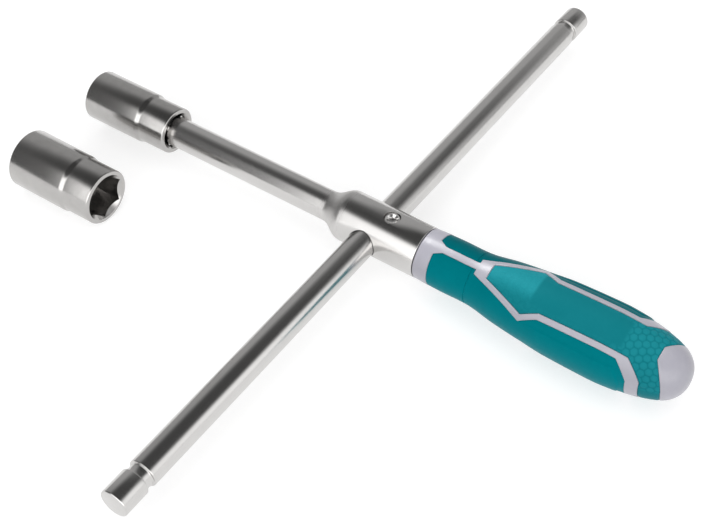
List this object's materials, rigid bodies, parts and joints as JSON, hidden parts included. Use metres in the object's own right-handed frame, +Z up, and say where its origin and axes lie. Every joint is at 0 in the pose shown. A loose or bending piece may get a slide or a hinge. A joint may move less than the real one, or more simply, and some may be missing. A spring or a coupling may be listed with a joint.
{
  "type": "lug wrench",
  "caption": "Cross-shaped lug wrench: shaft with a moulded grip, sliding cross bar, a double-ended socket on its square drive and a second socket lying beside it.",
  "frame": {"origin": "centre of the fitted socket's outer hex mouth, where the tool meets the wheel nut", "axes": "+X along the shaft from the nut to the handle, +Y along the cross bar, +Z up with the tool lying flat"},
  "size_m": [0.35, 0.4, 0.038],
  "materials": {
    "satin_steel": "satin nickel-chrome plate",
    "socket_steel": "satin nickel-chrome plate",
    "bright_steel": "bright",
    "spring_steel": "drawn wire",
    "grey_plastic": "fine satin",
    "teal_grip": "satin soft-touch"
  },
  "bodies": {
    "wrench": {"shaft_forging": "satin_steel", "detent_screw": "bright_steel", "detent_spring": "spring_steel", "drive_ball_spring": "spring_steel", "handle_core": "grey_plastic", "palm_grip": "teal_grip", "side_grip_right": "teal_grip", "side_grip_left": "teal_grip", "end_cap": "grey_plastic"},
    "bar": {"cross_bar": "satin_steel"},
    "fitted_socket": {"socket_17_19": "socket_steel"},
    "spare_socket": {"socket_21_23": "socket_steel"},
    "detent_ball": {"detent_ball": "bright_steel"},
    "drive_ball": {"drive_ball": "bright_steel"}
  },
  "joints": [
    {"name": "bar_slide", "type": "slide", "parent": "wrench", "child": "bar", "axis": [0, 1, 0], "range_m": [-0.1886, 0.1786]},
    {"name": "socket_pull", "type": "slide", "parent": "wrench", "child": "fitted_socket", "axis": [-1, 0, 0], "range_m": [0, 0.06]},
    {"name": "detent_press", "type": "slide", "parent": "wrench", "child": "detent_ball", "axis": [0, 0, 1], "range_m": [0, 0.0006], "stiffness_N_per_m": 2000, "springref_m": -0.003, "deforming": ["detent_spring"]},
    {"name": "drive_ball_press", "type": "slide", "parent": "wrench", "child": "drive_ball", "axis": [0, 0, 1], "range_m": [0, 0.0009], "stiffness_N_per_m": 1500, "springref_m": 0.002, "deforming": ["drive_ball_spring"]},
    {"name": "spare_socket_lift", "type": "slide", "parent": "wrench", "child": "spare_socket", "axis": [0, 0, 1], "range_m": [0, 0.1]}
  ]
}
